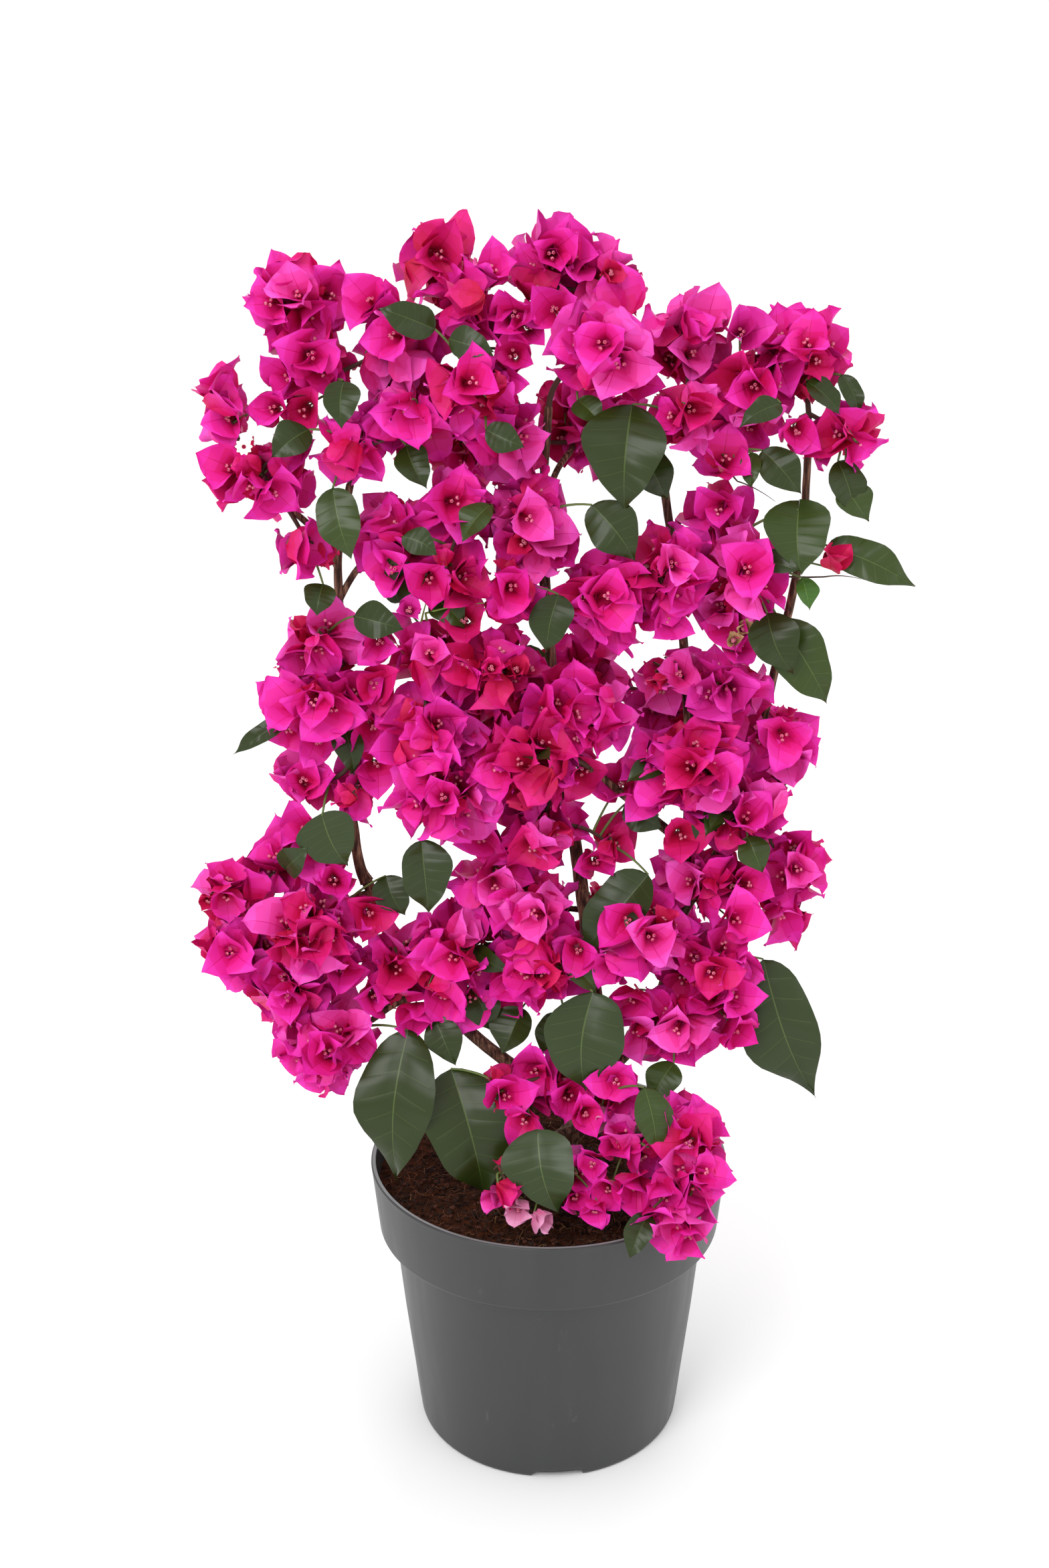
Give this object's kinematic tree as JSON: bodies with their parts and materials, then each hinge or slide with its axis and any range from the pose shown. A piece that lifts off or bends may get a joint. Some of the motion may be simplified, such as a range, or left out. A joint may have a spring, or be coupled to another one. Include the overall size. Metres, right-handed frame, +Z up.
{
  "type": "potted bougainvillea bush",
  "caption": "Flowering bougainvillea grown as a flat fan of thin boughs dressed in magenta bracts and dark leaves, standing in a round tapered nursery pot.",
  "frame": {"origin": "centre of the pot's flat underside, on the level it stands on", "axes": "+Z up along the pot's axis, +X to the viewer's right along the width of the fan, the face of the fan towards -Y"},
  "size_m": [0.5265, 0.2836, 0.9446],
  "materials": {
    "pot": "satin, dark grey injection-moulded polypropylene",
    "soil": "loose, fibrous coir and peat compost",
    "bark": "rough brown bark with paler streaks",
    "foliage": "papery magenta bracts and glossy dark green leaves"
  },
  "bodies": {
    "root": {"bough_across": "bark", "bough_far_right": "bark", "bough_left_high": "bark", "bough_left_low": "bark", "bough_middle": "bark", "bough_right": "bark", "foliage_back_high": "foliage", "foliage_back_low": "foliage", "foliage_back_middle": "foliage", "foliage_bottom": "foliage", "foliage_centre": "foliage", "foliage_centre_left": "foliage", "foliage_far_left": "foliage", "foliage_far_low_left": "foliage", "foliage_far_top_right": "foliage", "foliage_high_right": "foliage", "foliage_left_middle": "foliage", "foliage_low_centre": "foliage", "foliage_low_centre_left": "foliage", "foliage_low_left": "foliage", "foliage_low_right": "foliage", "foliage_middle": "foliage", "foliage_middle_left": "foliage", "foliage_over_rim": "foliage", "foliage_over_soil": "foliage", "foliage_right_centre": "foliage", "foliage_right_edge": "foliage", "foliage_right_middle": "foliage", "foliage_top_left": "foliage", "foliage_top_middle": "foliage", "foliage_top_right": "foliage", "foliage_upper_middle": "foliage", "pot": "pot", "side_bough_back_high": "bark", "side_bough_back_low": "bark", "side_bough_back_middle": "bark", "side_bough_bottom": "bark", "side_bough_centre_left": "bark", "side_bough_far_left": "bark", "side_bough_far_low_left": "bark", "side_bough_left_middle": "bark", "side_bough_low_centre": "bark", "side_bough_low_centre_left": "bark", "side_bough_low_left": "bark", "side_bough_low_right": "bark", "side_bough_middle": "bark", "side_bough_middle_left": "bark", "side_bough_over_rim": "bark", "side_bough_over_soil": "bark", "side_bough_right_centre": "bark", "side_bough_right_edge": "bark", "side_bough_right_middle": "bark", "side_bough_top_middle": "bark", "side_bough_upper_middle": "bark", "soil": "soil", "trunk": "bark"}
  },
  "joints": []
}
